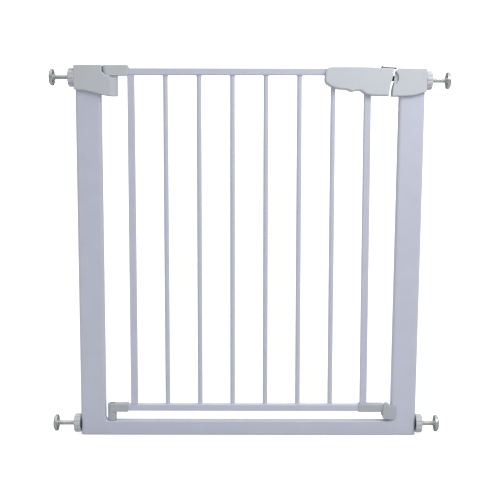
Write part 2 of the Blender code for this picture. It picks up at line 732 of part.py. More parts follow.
def hinge_arm():
    low, high = 749.4 * MM, 769.9 * MM
    right = -245 * MM
    plan = stadium_end(ARM_HALF_DEPTH, right, 3 * MM)
    made = round_faces(slab(plan, "XY", low, high), 1.5 * MM)
    notch_half = HALF_SECTION + 2 * GAP
    stile_notch = box(
        (HINGE_STILE_X - notch_half, -notch_half, low - OVERSHOOT),
        (right + OVERSHOOT, notch_half, RAIL_UNDERSIDE + GAP),
    )
    head_seat = 763 * MM
    cut(
        made,
        rail_space(ARM_RAIL_START - GAP, right + OVERSHOOT, DOOR_TOP - HALF_SECTION),
        stile_notch,
        rod(PIN_RADIUS + RUNNING_CLEARANCE, (HINGE_X, 0, low - OVERSHOOT), "+Z", 30 * MM),
        rod(PIN_HEAD_RADIUS + RUNNING_CLEARANCE, (HINGE_X, 0, head_seat), "+Z", 20 * MM),
    )
    keep(made, "hinge_arm", GREY_PLASTIC, DOOR)


def lower_hinge_bracket():
    low, high = 49.2 * MM, 66.7 * MM
    leg_bottom = 35 * MM
    right = -253.5 * MM
    plan = stadium_end(BRACKET_HALF_DEPTH, right, 2 * MM)
    made = round_faces(slab(plan, "XY", low, high), 1 * MM, 1)
    leg = rod(BRACKET_HALF_DEPTH, (HINGE_X, 0, leg_bottom), "+Z", low + MM - leg_bottom)
    bevel(leg, 1.6 * MM, 1)
    join(made, leg)
    head_seat = 61.7 * MM
    cut(
        made,
        rail_space(BRACKET_RAIL_START - GAP, right + OVERSHOOT, DOOR_BOTTOM + HALF_SECTION),
        rod(PIN_RADIUS + RUNNING_CLEARANCE, (HINGE_X, 0, leg_bottom - OVERSHOOT), "+Z", 40 * MM),
        rod(PIN_HEAD_RADIUS + RUNNING_CLEARANCE, (HINGE_X, 0, head_seat), "+Z", 20 * MM),
    )
    keep(made, "lower_hinge_bracket", GREY_PLASTIC, DOOR)


def hinge_pins():
    carrier = axis_empty("door_lift_axis", (HINGE_X, 0, 0))
    for name, tip, seat, head in (
        ("upper_hinge_pin", 717 * MM, 763.4 * MM, 3.8 * MM),
        ("lower_hinge_pin", 17.5 * MM, 62.1 * MM, 3.2 * MM),
    ):
        profile = [(0, seat + head), (PIN_HEAD_RADIUS - MM, seat + head)]
        profile += [(PIN_HEAD_RADIUS, seat + head - MM), (PIN_HEAD_RADIUS, seat)]
        profile += [(PIN_RADIUS, seat), (PIN_RADIUS, tip + MM), (PIN_RADIUS - MM, tip), (0, tip)]
        keep(turned(profile, (HINGE_X, 0, 0), "+Z"), name, ZINC, carrier)


def lower_latch_cap():
    """The cap on the bottom rail's free end, with the peg that drops into the keeper."""
    left, right = 232.2 * MM, 283.2 * MM
    low, high = 49.6 * MM, 66.4 * MM
    half = BRACKET_HALF_DEPTH
    plan = rounded_rectangle((left, -half), (right, half), 2 * MM, 2)
    made = round_faces(slab(plan, "XY", low, high), 1 * MM, 1)
    neck = box((right - 2 * MM, -5 * MM, low + MM), (291 * MM, 5 * MM, 61.5 * MM))
    peg = slab(rounded_rectangle((288 * MM, low), (299.3 * MM, high + MM), 4 * MM, 4), "XZ",
               -8 * MM, 8 * MM)
    join(made, neck, peg)
    notch = HALF_SECTION + 2 * GAP
    stile_notch = box(
        (LATCH_STILE_X - notch, -notch, BOTTOM_RAIL_TOP - MM),
        (LATCH_STILE_X + notch, notch, high + OVERSHOOT),
    )
    cut(
        made,
        rail_space(left - OVERSHOOT, CAP_RAIL_END + GAP, DOOR_BOTTOM + HALF_SECTION),
        stile_notch,
    )
    keep(made, "lower_latch_cap", GREY_PLASTIC, DOOR)


# ---------------------------------------------------------------- handle and latch

LATCH_Z = 745.1 * MM  # height of the bolt's middle
BOLT_TIP = 300 * MM
BOLT_TAIL = 270 * MM
BOLT_TRAVEL = 9 * MM
WEB_START, WEB_END = 275 * MM, 285 * MM  # the web that joins the thumb plate to the bolt
HANDLE_SCREWS = [(192 * MM, 738 * MM), (223 * MM, 737 * MM), (266 * MM, 724 * MM)]
HANDLE_SCREW_FACE = 16 * MM
SLIDE = axis_empty("latch_slide_axis", (BOLT_TAIL, 0, LATCH_Z))


def handle_outline():
    """Anticlockwise from the lower right: up the latch side, back along the top, then the grip."""
    latch_side = millimetres([(285.9, 710.2), (286.2, 720.9), (288.4, 732.9), (292.2, 746.8),
                              (294.7, 760.5)])
    top = millimetres([(294.4, 763.8), (270, 765.2), (250, 766.7), (205, 767.4), (162, 767)])
    grip = millimetres([(158.2, 765), (156, 758), (154.1, 744), (156.2, 736.5), (162, 731.5),
                        (178.3, 724.8), (190.5, 723), (198.5, 722.7), (204, 720.8), (210.5, 718.4),
                        (221, 720.5), (229, 720), (233.5, 717), (238.5, 713.6), (247, 711.4),
                        (262, 710.5), (280, 710)])
    return [*latch_side, *top, *grip]


def handle():
    depth = HANDLE_HALF_DEPTH
    outline = handle_outline()
    whole = round_faces(slab(outline, "XZ", -depth, depth), 4 * MM)
    wall_half = depth - CASING_WALL
    cut(whole, slab(inset(outline, CASING_WALL), "XZ", -wall_half, wall_half))
    section_half = HALF_SECTION + GAP
    stile_space = box(
        (LATCH_STILE_X - section_half, -section_half, 700 * MM),
        (LATCH_STILE_X + section_half, section_half, RAIL_UNDERSIDE),
    )
    bolt_half = 5.6 * MM
    bolt_window = box(
        (282 * MM, -bolt_half, LATCH_Z - 6.4 * MM), (300 * MM, bolt_half, LATCH_Z + 6.4 * MM)
    )
    slot_start = WEB_START - BOLT_TRAVEL - 1.5 * MM
    slot = box((slot_start, -2.5 * MM, 755 * MM), (WEB_END + 1.8 * MM, 2.5 * MM, 775 * MM))
    cut(
        whole,
        rail_space(140 * MM, HANDLE_RAIL_END + GAP, DOOR_TOP - HALF_SECTION),
        stile_space,
        rod(BAR_DIAMETER / 2 + GAP, (LAST_BAR_X, 0, 715 * MM), "+Z", 36 * MM),
        bolt_window,
        slot,
    )
    front, rear = halves(
        whole, (150 * MM, -25 * MM, 700 * MM), (300 * MM, 25 * MM, 775 * MM), PALE_PLASTIC, DOOR,
        ("handle_front", "handle_rear"),
    )
    tip = -9 * MM
    for x, z in HANDLE_SCREWS:
        join(front, rod(3.6 * MM, (x, -depth + 1.5 * MM, z), "+Y", depth - 2 * MM, 16))
        join(rear, rod(4.4 * MM, (x, 0.5 * MM, z), "+Y", depth - 2 * MM, 16))
    for number, (x, z) in enumerate(HANDLE_SCREWS, 1):
        cut(rear, *screw_well(x, z, depth, HANDLE_SCREW_FACE, tip))
        cut(front, rod(SCREW_RADIUS + GAP, (x, tip - MM, z), "+Y", 20 * MM, 12))
        screw(f"handle_screw_{number}", x, z, HANDLE_SCREW_FACE, tip, DOOR)


def latch():
    """The sprung bolt and the thumb plate that draws it back, both sliding along the handle's top."""
    height, half = 5.4 * MM, 5 * MM
    bolt = box((BOLT_TAIL, -half, LATCH_Z - height), (BOLT_TIP, half, LATCH_Z + height))
    bevel(bolt, 0.8 * MM, 1)
    shoulder = box((BOLT_TAIL, -6.5 * MM, LATCH_Z - 6.6 * MM), (280 * MM, 6.5 * MM, LATCH_Z + 6.6 * MM))
    join(bolt, shoulder)
    keep(bolt, "latch_bolt", BLACK_PLASTIC, SLIDE)

    fall = math.tan(LATCH_SLOPE)
    left, right = 270.6 * MM, 301.6 * MM
    underside = 765.6 * MM
    thickness = 1.6 * MM

    def surface(x, above):
        return (x, underside - (x - left) * fall + above)

    plate = [surface(left, 0), surface(right, 0), surface(right, thickness)]
    plate += [surface(left + 5 * MM, thickness), surface(left + 3 * MM, thickness + 1.8 * MM)]
    plate += [surface(left, thickness + 1.8 * MM)]
    button = slab(plate, "XZ", -8 * MM, 8 * MM)
    bevel(button, 0.4 * MM, 1)
    web_top = underside + 0.2 * MM
    web = box((WEB_START, -2 * MM, LATCH_Z + 6.9 * MM), (WEB_END, 2 * MM, web_top))
    join(button, web)
    keep(button, "slide_button", BRONZE_PLATE, SLIDE)


def bolt_spring():
    coil_radius, wire_radius, turns, steps = 4 * MM, 0.5 * MM, 5, 10
    start = HANDLE_RAIL_END + GAP + wire_radius
    end = BOLT_TAIL - GAP - wire_radius
    curve = bpy.data.curves.new("coil", "CURVE")
    curve.dimensions = "3D"
    curve.bevel_depth = wire_radius
    curve.bevel_resolution = 0
    curve.use_fill_caps = True
    spline = curve.splines.new("POLY")
    count = turns * steps + 1
    spline.points.add(count - 1)
    for i, point in enumerate(spline.points):
        angle = 2 * math.pi * i / steps
        x = start + (end - start) * i / (count - 1)
        across, up = coil_radius * math.cos(angle), coil_radius * math.sin(angle)
        point.co = (x, across, LATCH_Z + up, 1)
    keep(curve_to_mesh(curve, Matrix.Identity(4)), "bolt_spring", ZINC, SLIDE)


# ---------------------------------------------------------------- assembly

frame_tubes()
hinge_housing()
hinge_sockets()
striker_housing()
lower_keeper()
for corner_name in ADJUSTERS:
    adjuster(corner_name)
hinge_pins()
door_tubes()
hinge_arm()
lower_hinge_bracket()
lower_latch_cap()
handle()
latch()
bolt_spring()
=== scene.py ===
"""The finished look of a pressure-fit safety gate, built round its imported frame.

Shapes are worked out in millimetres, in the frame's own axes: +X runs from the hinge post to the latch
post, +Y is the side that the door opens to, and +Z is up. They become metres when a piece is finished.
"""

import json
import math
from collections import namedtuple

import bmesh
import bpy
from mathutils import Matrix, Vector

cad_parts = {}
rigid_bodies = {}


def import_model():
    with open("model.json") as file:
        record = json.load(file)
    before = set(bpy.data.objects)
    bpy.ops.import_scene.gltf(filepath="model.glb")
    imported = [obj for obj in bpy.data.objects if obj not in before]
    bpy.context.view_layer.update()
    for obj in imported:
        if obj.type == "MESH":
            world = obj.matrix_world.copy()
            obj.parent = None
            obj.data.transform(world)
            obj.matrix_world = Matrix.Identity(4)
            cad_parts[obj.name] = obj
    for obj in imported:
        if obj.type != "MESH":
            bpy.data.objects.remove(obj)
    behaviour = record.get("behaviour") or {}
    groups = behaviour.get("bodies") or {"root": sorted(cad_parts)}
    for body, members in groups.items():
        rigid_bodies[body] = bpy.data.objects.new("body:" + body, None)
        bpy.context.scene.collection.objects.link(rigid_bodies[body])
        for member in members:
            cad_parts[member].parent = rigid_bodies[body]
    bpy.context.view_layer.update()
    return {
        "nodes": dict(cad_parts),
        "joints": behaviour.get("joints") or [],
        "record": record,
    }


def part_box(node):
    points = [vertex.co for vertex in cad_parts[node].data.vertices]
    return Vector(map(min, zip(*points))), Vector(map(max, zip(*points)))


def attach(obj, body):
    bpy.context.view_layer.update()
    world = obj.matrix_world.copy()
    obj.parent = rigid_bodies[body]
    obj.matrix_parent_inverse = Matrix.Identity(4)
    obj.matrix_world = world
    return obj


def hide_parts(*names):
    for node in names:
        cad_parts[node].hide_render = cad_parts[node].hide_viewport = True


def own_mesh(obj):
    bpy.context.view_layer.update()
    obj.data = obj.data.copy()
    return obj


for item in list(bpy.data.objects):
    bpy.data.objects.remove(item, do_unlink=True)

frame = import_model()

RECORD = frame["record"]
JOINTS = {joint["name"]: joint for joint in frame["joints"]}
SLOT_OF = {part["node"]: part["material_slot"] for part in RECORD["subparts"]}
BODY_OF = {
    node: body for body, nodes in RECORD["behaviour"]["bodies"].items() for node in nodes
}

MM = 0.001
SEAM = 0.3  # gap between the halves of a moulded casing
SEAM_RIM = 0.25  # rounding of the casings' edges along that gap
FIT = 0.3  # room left round a tube where it passes into a moulding
PIN_BORE = 4.35  # radius of the holes that the hinge pins turn in
CROWN = 1.5  # the hinge corner's top faces are this much higher than the CAD's
FACE_IN = 2.3  # the posts' inner faces stand this far further in than the CAD's
SMOOTH_BELOW = math.radians(38)
CORNERS = ("upper_left", "lower_left", "upper_right", "lower_right")
BARS = [f"bar_{number}" for number in range(1, 7)]

Box = namedtuple("Box", "x0 x1 y0 y1 z0 z1")


# ---------------------------------------------------------------- places taken from the frame

LEAN_AXIS = JOINTS["spindle_slide_upper_right"]["axis"]
LEAN_ANGLE = math.atan2(-LEAN_AXIS[2], LEAN_AXIS[0])
LEAN_FOOT = (-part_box("left_post")[0].x / MM, 0, 0)
LEAN = (
    Matrix.Translation(LEAN_FOOT)
    @ Matrix.Rotation(LEAN_ANGLE, 4, "Y")
    @ Matrix.Translation(LEAN_FOOT).inverted()
)
UPRIGHT = LEAN.inverted()


def span(node, leaning=False):
    """A CAD node's box in millimetres; a leaning node is first stood upright with its post."""
    low, high = (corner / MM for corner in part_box(node))
    if leaning:
        points = [UPRIGHT @ (vertex.co / MM) for vertex in frame["nodes"][node].data.vertices]
        low = Vector(min(point[i] for point in points) for i in range(3))
        high = Vector(max(point[i] for point in points) for i in range(3))
    return Box(low.x, high.x, low.y, high.y, low.z, high.z)


def centre(size):
    """A box's middle, across and up."""
    return (size.x0 + size.x1) / 2, (size.z0 + size.z1) / 2


HINGE_X = JOINTS["door_swing"]["pos_m"][0] / MM


# ---------------------------------------------------------------- outlines

def rounded(corners, steps=6):
    """An outline through (u, v, radius) corners, each turned on an arc of its own radius."""
    points = []
    for i, (u, v, radius) in enumerate(corners):
        here = Vector((u, v))
        if not radius:
            points.append((u, v))
            continue
        back = (Vector(corners[i - 1][:2]) - here).normalized()
        onward = (Vector(corners[(i + 1) % len(corners)][:2]) - here).normalized()
        half = back.angle(onward) / 2
        centre = here + (back + onward).normalized() * radius / math.sin(half)
        start = here + back * radius / math.tan(half) - centre
        end = here + onward * radius / math.tan(half) - centre
        turn = math.atan2(start.cross(end), start.dot(end))
        for step in range(steps + 1):
            spoke = Matrix.Rotation(turn * step / steps, 2) @ start
            points.append(tuple(centre + spoke))
    return points


def rectangle(u0, v0, u1, v1, radius, steps=6):
    return rounded([(u0, v0, radius), (u1, v0, radius), (u1, v1, radius), (u0, v1, radius)], steps)


def arc(centre, radius, start, end, steps):
    """Points on an arc, angles in degrees."""
    angles = [math.radians(start + (end - start) * i / steps) for i in range(steps + 1)]
    return [(centre[0] + radius * math.cos(a), centre[1] + radius * math.sin(a)) for a in angles]


def ellipse(middle, across, up, steps=48):
    angles = [2 * math.pi * i / steps for i in range(steps)]
    return [(middle[0] + across * math.cos(a), middle[1] + up * math.sin(a)) for a in angles]


def smooth_path(points, steps):
    """A Catmull-Rom curve through the points."""
    ends = [points[0], *points, points[-1]]
    path = []
    for a, b, c, d in zip(ends, ends[1:], ends[2:], ends[3:]):
        for step in range(steps):
            t = step / steps
            path.append(tuple(
                0.5 * (2 * q + (r - p) * t + (2 * p - 5 * q + 4 * r - s) * t * t
                       + (3 * q - p - 3 * r + s) * t ** 3)
                for p, q, r, s in zip(a, b, c, d)
            ))
    return [*path, points[-1]]


def falling_edge(start, end, steps=20):
    """Points on an S-shaped edge that leaves and arrives level."""
    points = []
    for i in range(steps + 1):
        t = i / steps
        ease = t * t * (3 - 2 * t)
        points.append((start[0] + (end[0] - start[0]) * t, start[1] + (end[1] - start[1]) * ease))
    return points


# ---------------------------------------------------------------- shapes, in millimetres

PLACES = {
    "XY": lambda u, v, w: (u, v, w),
    "XZ": lambda u, v, w: (u, w, v),
    "YZ": lambda u, v, w: (w, u, v),
}


def placed(name, data):
    """A new object in the scene."""
    made = bpy.data.objects.new(name, data)
    bpy.context.scene.collection.objects.link(made)
    return made


def solid(shape):
    """An object made from a bmesh, with its faces pointing out."""
    bmesh.ops.recalc_face_normals(shape, faces=shape.faces)
    mesh = bpy.data.meshes.new("shape")
    shape.to_mesh(mesh)
    shape.free()
    return placed("shape", mesh)


def solid_along(shape, base, axis):
    """An object made from a bmesh, with the bmesh's origin at base and its +Z along axis."""
    turn = Vector((0, 0, 1)).rotation_difference(Vector(axis)).to_matrix().to_4x4()
    bmesh.ops.transform(shape, matrix=Matrix.Translation(base) @ turn, verts=shape.verts)
    return solid(shape)


def prism(outline, plane, low, high, rims=(0, 0), steps=4):
    """An outline given thickness from low to high, with its low and high rims rounded."""
    place = PLACES[plane]
    shape = bmesh.new()
    rings = [[shape.verts.new(place(u, v, w)) for u, v in outline] for w in (low, high)]
    for ring in rings:
        shape.faces.new(ring)
    for i in range(len(outline)):
        shape.faces.new((rings[0][i - 1], rings[0][i], rings[1][i], rings[1][i - 1]))
    bmesh.ops.recalc_face_normals(shape, faces=shape.faces)
    for ring, radius in zip(rings, rims):
        if radius:
            edges = [shape.edges.get((ring[i - 1], ring[i])) for i in range(len(ring))]
            bmesh.ops.bevel(
                shape, geom=edges, offset=radius, segments=steps, profile=0.5, affect="EDGES",
                clamp_overlap=False,
            )
    return solid(shape)


def block(low, high, radius=0):
    """A box between two corners, with its upright edges rounded."""
    return prism(rectangle(*low[:2], *high[:2], radius), "XY", low[2], high[2])


def turned(profile, base, axis, sides=48, closed=False, relief=None):
    """A turned solid. profile lists (radius, height), and heights run from base along axis. relief
    gives how far the surface lies inside its radius at an angle."""
    shape = bmesh.new()
    rings = []
    for radius, height in profile:
        if radius < 0.001:
            rings.append([shape.verts.new((0, 0, height))] * sides)
            continue
        ring = []
        for i in range(sides):
            angle = 2 * math.pi * i / sides
            reach = radius - (relief(angle, radius) if relief else 0)
            ring.append(shape.verts.new((reach * math.cos(angle), reach * math.sin(angle), height)))
        rings.append(ring)
    pairs = list(zip(rings, rings[1:]))
    if closed:
        pairs.append((rings[-1], rings[0]))
    for lower, upper in pairs:
        for i in range(sides):
            corners = tuple(dict.fromkeys((lower[i - 1], lower[i], upper[i], upper[i - 1])))
            if len(corners) > 2:
                shape.faces.new(corners)
    return solid_along(shape, base, axis)


def threaded(radius, depth, pitch, length, base, axis, sides=32, rows=6):
    """A threaded rod with chamfered ends."""
    shape = bmesh.new()
    count = int(length / pitch * rows)
    rings = []
    for row in range(count + 1):
        height = length * row / count
        ring = []
        for i in range(sides):
            phase = (height / pitch - i / sides) % 1
            reach = radius - depth * (1 if row in (0, count) else abs(2 * phase - 1))
            angle = 2 * math.pi * i / sides
            ring.append(shape.verts.new((reach * math.cos(angle), reach * math.sin(angle), height)))
        rings.append(ring)
    for lower, upper in zip(rings, rings[1:]):
        for i in range(sides):
            shape.faces.new((lower[i - 1], lower[i], upper[i], upper[i - 1]))
    shape.faces.new(rings[0])
    shape.faces.new(rings[-1])
    return solid_along(shape, base, axis)


def bake(made):
    """Apply a shape's modifiers."""
    evaluated = made.evaluated_get(bpy.context.evaluated_depsgraph_get())
    mesh = bpy.data.meshes.new_from_object(evaluated)
    made.modifiers.clear()
    made.data = mesh
    return made


def combine(made, operation, tools):
    """Cut, join or meet a shape with tools, which are used up."""
    for tool in tools:
        step = made.modifiers.new("step", "BOOLEAN")
        step.operation = operation
        step.solver = "EXACT"
        step.object = tool
    bake(made)
    for tool in tools:
        bpy.data.objects.remove(tool, do_unlink=True)
    return made


def cut(made, *tools):
    return combine(made, "DIFFERENCE", tools)


def join(made, *tools):
    return combine(made, "UNION", tools)


def common(made, *tools):
    return combine(made, "INTERSECT", tools)


# ---------------------------------------------------------------- materials

def nodes_of(name):
    """A new material, its node tree and its shader."""
    made = bpy.data.materials.new(name)
    made.use_nodes = True
    tree = made.node_tree
    return made, tree, tree.nodes["Principled BSDF"]


def noise(tree, scale, detail=3.0, stretch=(1, 1, 1)):
    """Noise fixed to the piece, with an optional stretch."""
    where = tree.nodes.new("ShaderNodeTexCoord")
    mapping = tree.nodes.new("ShaderNodeMapping")
    mapping.inputs["Scale"].default_value = stretch
    made = tree.nodes.new("ShaderNodeTexNoise")
    made.inputs["Scale"].default_value = scale
    made.inputs["Detail"].default_value = detail
    tree.links.new(where.outputs["Object"], mapping.inputs["Vector"])
    tree.links.new(mapping.outputs["Vector"], made.inputs["Vector"])
    return made.outputs["Fac"]


def ramp(tree, value, low, high):
    """A colour or grey that runs from low to high as value goes from 0.3 to 0.7."""
    made = tree.nodes.new("ShaderNodeValToRGB")
    made.color_ramp.elements[0].position = 0.3
    made.color_ramp.elements[1].position = 0.7
    made.color_ramp.elements[0].color = (*low, 1)
    made.color_ramp.elements[1].color = (*high, 1)
    tree.links.new(value, made.inputs["Fac"])
    return made.outputs["Color"]


DRIFT_SCALE = 26.0  # of the slow change of colour, per metre


def surface(name, colour, spread, roughness, grain, relief, metallic=0.0, stretch=(1, 1, 1), edge=1.0):
    """A finish with slow colour drift, fine roughness change and a fine surface grain.

    spread is how far the colour drifts either way, roughness is its (low, high), grain is the
    texture's scale per metre and relief its depth in metres. edge tints what a metal reflects at a
    glancing angle.
    """
    made, tree, shader = nodes_of(name)
    drift = noise(tree, DRIFT_SCALE, 4.0, stretch)
    low = [c * (1 - spread) for c in colour]
    high = [min(1, c * (1 + spread)) for c in colour]
    tree.links.new(ramp(tree, drift, low, high), shader.inputs["Base Color"])
    fine = noise(tree, grain, stretch=stretch)
    polish = ramp(tree, fine, [roughness[0]] * 3, [roughness[1]] * 3)
    tree.links.new(polish, shader.inputs["Roughness"])
    bump = tree.nodes.new("ShaderNodeBump")
    bump.inputs["Strength"].default_value = 1.0
    bump.inputs["Distance"].default_value = relief
    tree.links.new(fine, bump.inputs["Height"])
    tree.links.new(bump.outputs["Normal"], shader.inputs["Normal"])
    shader.inputs["Metallic"].default_value = metallic
    shader.inputs["Specular Tint"].default_value = (edge, edge, edge, 1)
    return made


LOOKS = {
    "powder_coat": surface(
        "satin_powder_coat", (0.60, 0.625, 0.74), 0.02, (0.34, 0.46), 1100, 0.00003
    ),
    "grey_plastic": surface(
        "grained_grey_plastic", (0.58, 0.61, 0.65), 0.02, (0.42, 0.56), 2200, 0.00004
    ),
    # the grey plastic painted darker: painted shade for the mouldings near the floor, which are the same
    # plastic
    "shaded_lower_plastic": surface(
        "grained_plastic_painted_shade", (0.475, 0.505, 0.555), 0.02, (0.42, 0.56), 2200, 0.00004
    ),
    "handle_plastic": surface(
        "grained_pale_plastic", (0.60, 0.64, 0.69), 0.015, (0.40, 0.52), 2200, 0.00003
    ),
    "dark_nylon": surface("dark_nylon", (0.035, 0.038, 0.042), 0.1, (0.40, 0.6), 1500, 0.00005),
    "latch_plastic": surface("black_acetal", (0.012, 0.013, 0.014), 0.1, (0.25, 0.4), 1200, 0.00002),
    "slide_plate": surface(
        "brushed_plate", (0.10, 0.092, 0.085), 0.12, (0.35, 0.55), 500, 0.00003, 0.3, (0.15, 3, 3)
    ),
    "zinc_steel": surface(
        "zinc_plated_steel", (0.53, 0.56, 0.54), 0.08, (0.24, 0.34), 420, 0.00003, 0.75, edge=0.05
    ),
    "pad_rubber": surface("pad_rubber", (0.07, 0.07, 0.072), 0.12, (0.65, 0.85), 900, 0.00006),
}
# these mouldings near the floor are the grey plastic with painted shade, not a darker plastic
SHADE_PAINTED_PIECES = ("lower_hinge_bracket", "lower_latch_cap", "lower_keeper")  # darker than the rest


# ---------------------------------------------------------------- finishing a piece

def dress(made, name, node, leaning):
    """Make a shape a piece of the gate: in metres, smooth, finished, and riding with node's body."""
    if leaning:
        made.data.transform(LEAN)
    made.data.transform(Matrix.Scale(MM, 4))
    made.name = name
    made.data.name = name
    made.data.materials.clear()
    look = "shaded_lower_plastic" if node in SHADE_PAINTED_PIECES else SLOT_OF[node]
    made.data.materials.append(LOOKS[look])
    made.data.shade_smooth()
    made.data.set_sharp_from_angle(angle=SMOOTH_BELOW)
    normals = made.modifiers.new("normals", "WEIGHTED_NORMAL")
    normals.keep_sharp = True
    bake(made)
    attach(made, BODY_OF[node])


def stand_for(made, node, leaning=False):
    """Finish a shape that is shown in place of a CAD node."""
    dress(made, f"fine_{node}", node, leaning)
    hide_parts(node)


# ---------------------------------------------------------------- frame

POST_CORNER = 6


def posts():
    for node, leaning, left, right in (("left_post", False, 0, FACE_IN), ("right_post", True, FACE_IN, 0)):
        size = span(node, leaning)
        outline = rectangle(size.x0 - left, size.y0, size.x1 + right, size.y1, POST_CORNER, 10)
        stand_for(prism(outline, "XY", size.z0, size.z1, (3, 0.8), 5), node, leaning)


def threshold():
    """The rail along the floor, with a small weld in each corner that it makes with a post."""
    size = span("threshold_rail")
    outline = rectangle(size.y0, size.z0, size.y1, size.z1, 2.4)
    past_corner = POST_CORNER + 0.3 - FACE_IN
    rail = prism(outline, "YZ", size.x0 - past_corner, size.x1 + past_corner)
    stand_for(rail, "threshold_rail")
    radius, reach = 6.5, size.y1 - 2.2
    for side, node in ((-1, "left_post"), (1, "right_post")):
        post = span(node, side > 0)
        face = post.x1 + FACE_IN if side < 0 else post.x0 - FACE_IN
        hollow = arc((0, 0), radius, 180, 270, 10)
        outline = [(face - side * (radius + u), size.z1 + radius + v) for u, v in hollow]
        outline += [(face + side * 2.5, size.z1 - 1), (face + side * 2.5, size.z1 + radius)]
        weld = prism(outline, "XZ", -reach, reach, (1.2, 1.2), 3)
        dress(weld, f"corner_weld_{node}", node, side > 0)


# ---------------------------------------------------------------- screws

SHANK = 1.5
RECESS_HALF = 0.45  # half the width of a cross recess's arms


def screw(node, leaning=False):
    """A pan-head screw with a cross recess, driven in from the rear."""
    size = span(node, leaning)
    x, z = centre(size)
    head_radius, head = (size.x1 - size.x0) / 2, 2
    dome = [(head_radius * math.cos(a), head * (0.35 + 0.65 * math.sin(a)))
            for a in (math.radians(10 * i) for i in range(9))]
    profile = [(0, head), *reversed(dome), (head_radius, 0), (SHANK, 0)]
    length = size.y1 - head - size.y0
    profile += [(SHANK, 1.5 - length), (0, -length)]
    made = turned(profile, (x, size.y1 - head, z), (0, 1, 0), 32)
    arm, reach = RECESS_HALF, head_radius * 0.6
    inner, outer = size.y1 - 1.3, size.y1 + 1
    cut(
        made,
        block((x - reach, inner, z - arm), (x + reach, outer, z + arm)),
        block((x - arm, inner, z - reach), (x + arm, outer, z + reach)),
    )
    stand_for(made, node, leaning)


def well(made, node, leaning=False):
    """Sink the recess that a screw's head sits in."""
    head = span(node, leaning)
    x, z = centre(head)
    radius = (head.x1 - head.x0) / 2 + 0.4
    profile = [(0, -2.3), (radius, -2.3), (radius, 4), (0, 4)]
    cut(made, turned(profile, (x, head.y1, z), (0, 1, 0), 32))


# ---------------------------------------------------------------- hinge housing

def hinge_housing():
    """Two shells round the left post's top, cut away on the right for the door's arm."""
    front = span("hinge_housing_front")
    left, right, low, top = front.x0, front.x1 - 2.4, front.z0, front.z1 + CROWN
    depth = -front.y0
    seat = front.z1 - 20.6
    slit = HINGE_X - 10.4
    underside = falling_edge((left + 8, low + 12.2), (right - 11.5, low))
    outline = [*underside, (right, low), (right, seat), (HINGE_X - 0.8, seat), (slit, seat + 9.6)]
    outline += [(slit, top), *arc((left + 2.6, top - 2.6), 2.6, 90, 180, 5)]
    outline += arc((left + 2.2, low + 14.4), 2.2, 180, 270, 4)
    end_radius = 16.5
    bulge = [(left - 5, depth + 2), (left - 5, -depth - 2), (right - end_radius, -depth - 2)]
    bulge += arc((right - end_radius, -depth + end_radius), end_radius, -90, 0, 16)
    bulge += arc((right - end_radius, depth - end_radius), end_radius, 0, 90, 16)
    bulge += [(right - end_radius, depth + 2)]
    arm_gap, lip_inside, rim = 10.5, 7.8, 2.2
    slope = [(HINGE_X + 5.2, seat + 2), (HINGE_X + 5.2, seat), (right + 0.5, seat - 8.9)]
    slope += [(right + 5, seat - 8.9), (right + 5, seat + 2)]
    socket_profile = [(0, -36), (7.3, -36), (7.3, 20), (0, 20)]
    for half, near, far, rims in (
        ("front", -depth, -SEAM / 2, (rim, SEAM_RIM)), ("rear", SEAM / 2, depth, (SEAM_RIM, rim))
    ):
        made = prism(outline, "XZ", near, far, rims, 5)
        common(made, prism(bulge, "XY", low - 10, top + 10))
        arm_space = block((slit, -arm_gap, seat - 0.3), (right + 20, depth + 4, top + 10))
        socket = turned(socket_profile, (HINGE_X, 0, seat), (0, 0, 1), 48)
        start, end = (-depth - 4, -lip_inside) if half == "front" else (lip_inside, depth + 4)
        cut(made, arm_space, socket, prism(slope, "XZ", start, end))
        if half == "rear":
            for place in ("upper", "lower"):
                well(made, f"hinge_housing_screw_{place}")
        stand_for(made, f"hinge_housing_{half}")


def sockets():
    for node in ("upper_hinge_socket", "lower_hinge_bush"):
        size = span(node)
        radius, lip = (size.x1 - size.x0) / 2, 0.8
        profile = [(PIN_BORE, size.z1), (radius - lip, size.z1), (radius, size.z1 - lip)]
        if node == "lower_hinge_bush":
            rail_top = span("threshold_rail").z1
            profile += [(radius, rail_top), (5.8, rail_top), (5.8, size.z0)]
        else:
            profile += [(radius, size.z0)]
        profile += [(PIN_BORE, size.z0)]
        stand_for(turned(profile, (HINGE_X, 0, 0), (0, 0, 1), 48, closed=True), node)


# ---------------------------------------------------------------- striker housing and keeper

